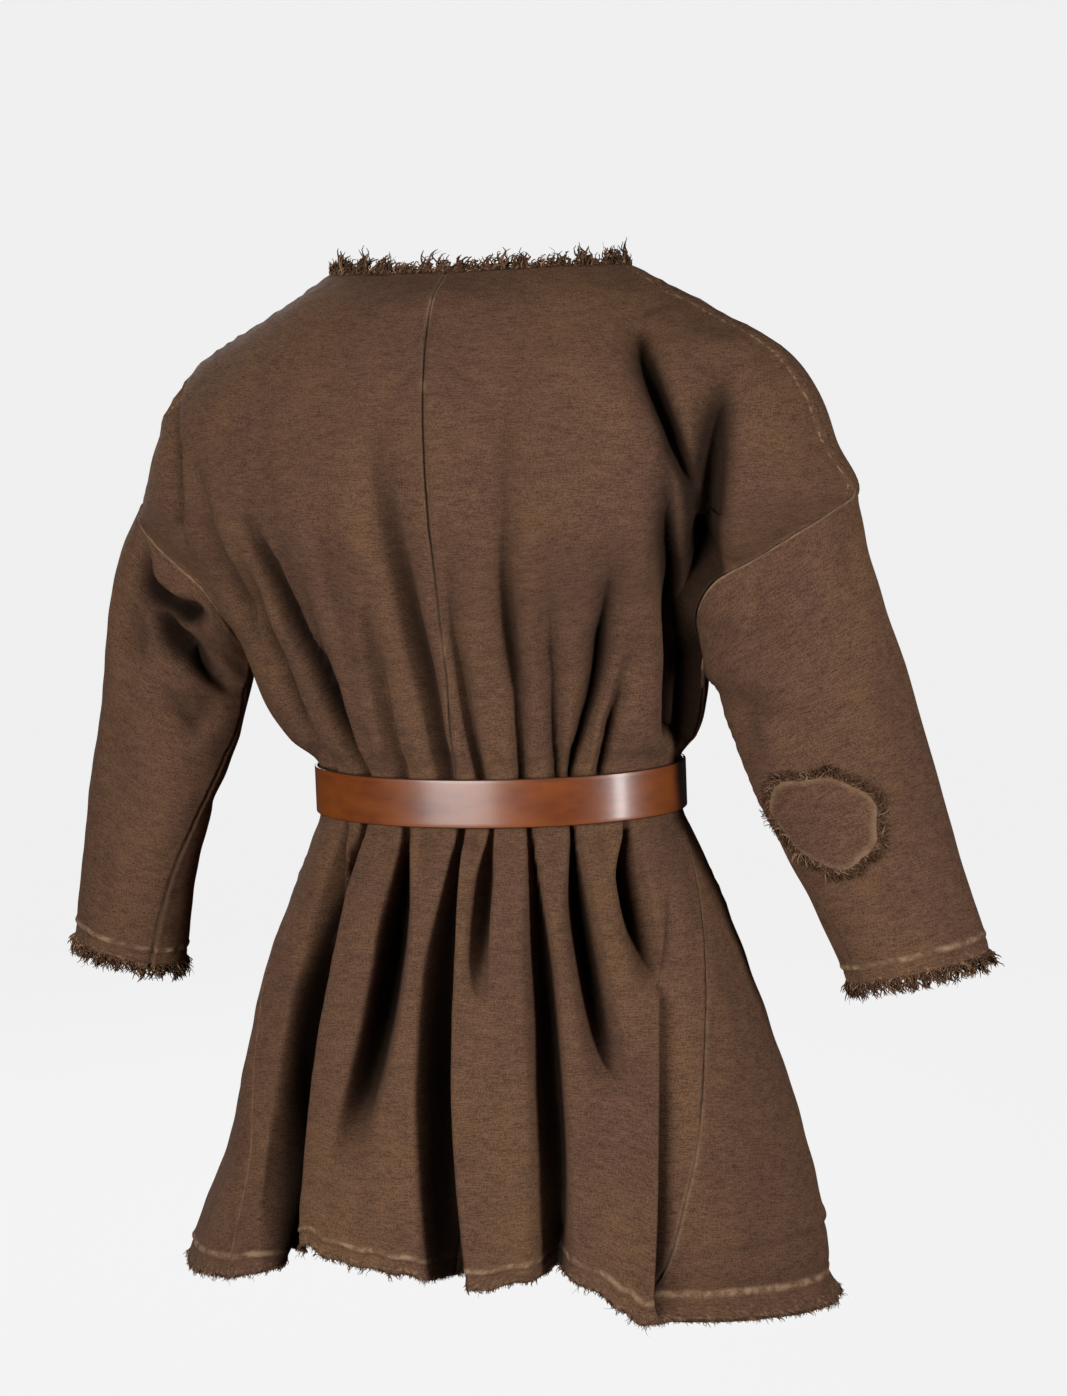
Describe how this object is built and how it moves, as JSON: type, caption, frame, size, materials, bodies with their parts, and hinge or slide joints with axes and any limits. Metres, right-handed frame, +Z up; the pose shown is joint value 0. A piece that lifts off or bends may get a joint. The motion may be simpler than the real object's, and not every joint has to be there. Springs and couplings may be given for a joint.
{
  "type": "belted tunic",
  "caption": "Thigh-length tunic of plain brown cloth with frayed edges, dropped sleeves, side gores, an elbow patch and a leather waist belt, hollow inside.",
  "frame": {"origin": "middle of the neck opening, level with the two points where the shoulder seams reach the neck", "axes": "+Z up the worn garment, -Y out of its front, +X towards the wearer's left"},
  "size_m": [0.8426, 0.3896, 0.9148],
  "materials": {
    "cloth": "heavy plain-weave cotton, garment-dyed brown, worn paler at the seams",
    "fringe": "frayed loose yarns of the same cloth",
    "leather": "smooth polished cognac leather with pale cut edges",
    "metal": "plain cast brass, slightly dulled"
  },
  "bodies": {
    "root": {"back_left": "cloth", "back_right": "cloth", "front": "cloth", "gore_left": "cloth", "gore_right": "cloth", "sleeve_left": "cloth", "sleeve_right": "cloth", "elbow_patch": "cloth", "neck_fringe": "fringe", "cuff_fringe_left": "fringe", "cuff_fringe_right": "fringe", "hem_fringe": "fringe", "patch_fringe": "fringe", "belt_strap": "leather", "belt_keeper": "leather", "buckle_frame": "metal", "buckle_prong": "metal"}
  },
  "joints": []
}
